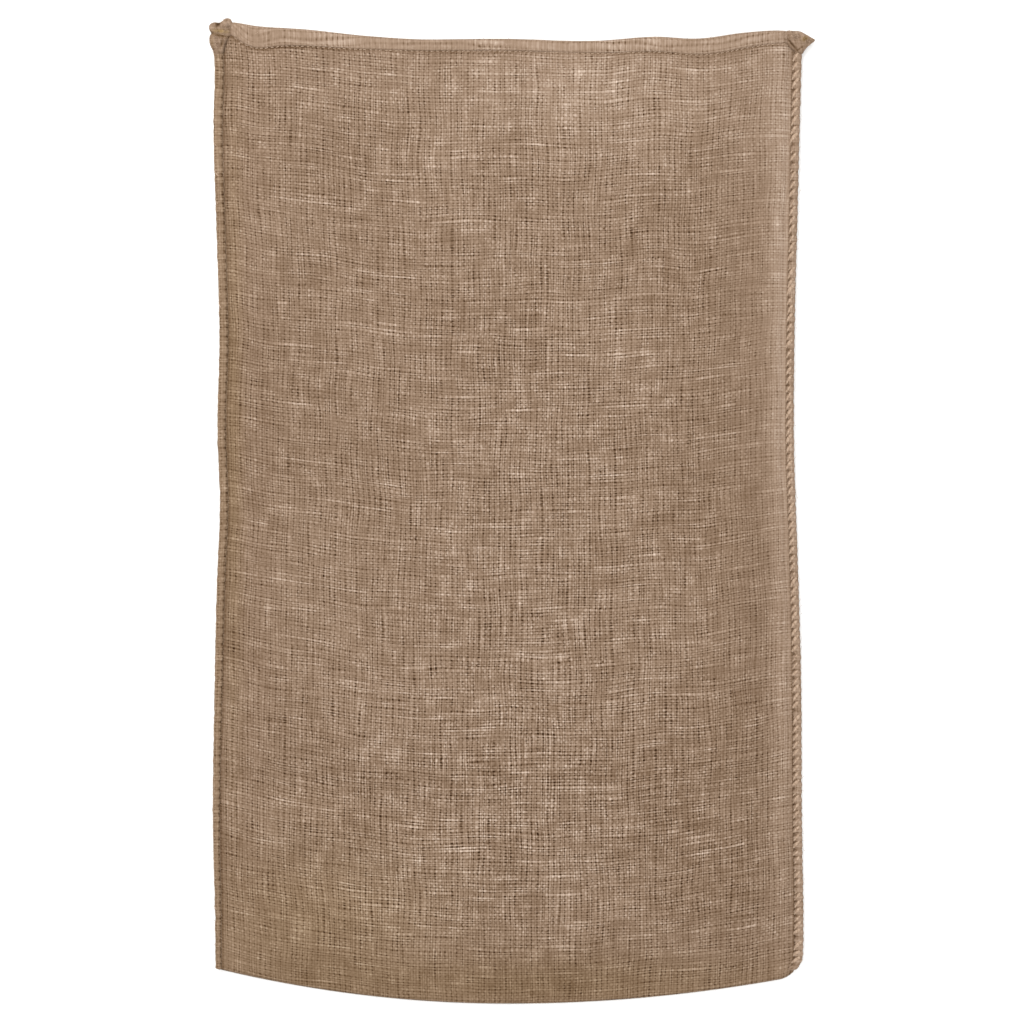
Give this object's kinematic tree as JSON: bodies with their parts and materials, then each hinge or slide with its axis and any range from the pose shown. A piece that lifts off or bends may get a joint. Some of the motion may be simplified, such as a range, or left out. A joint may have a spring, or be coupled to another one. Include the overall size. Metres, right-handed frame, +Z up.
{
  "type": "jute sack",
  "caption": "Empty hessian sack lying flat on its back, folded at the bottom, overcast up both sides and hemmed round an open mouth.",
  "frame": {"origin": "under the middle of the sack's box, on the surface that it lies on", "axes": "+X across the sack, +Y from the bottom fold to the mouth, +Z up from the surface"},
  "size_m": [0.615, 1.0014, 0.0177],
  "materials": {
    "hessian": "matt, undyed brown jute in an open plain weave"
  },
  "bodies": {
    "root": {"sack_cloth": "hessian"}
  },
  "joints": []
}
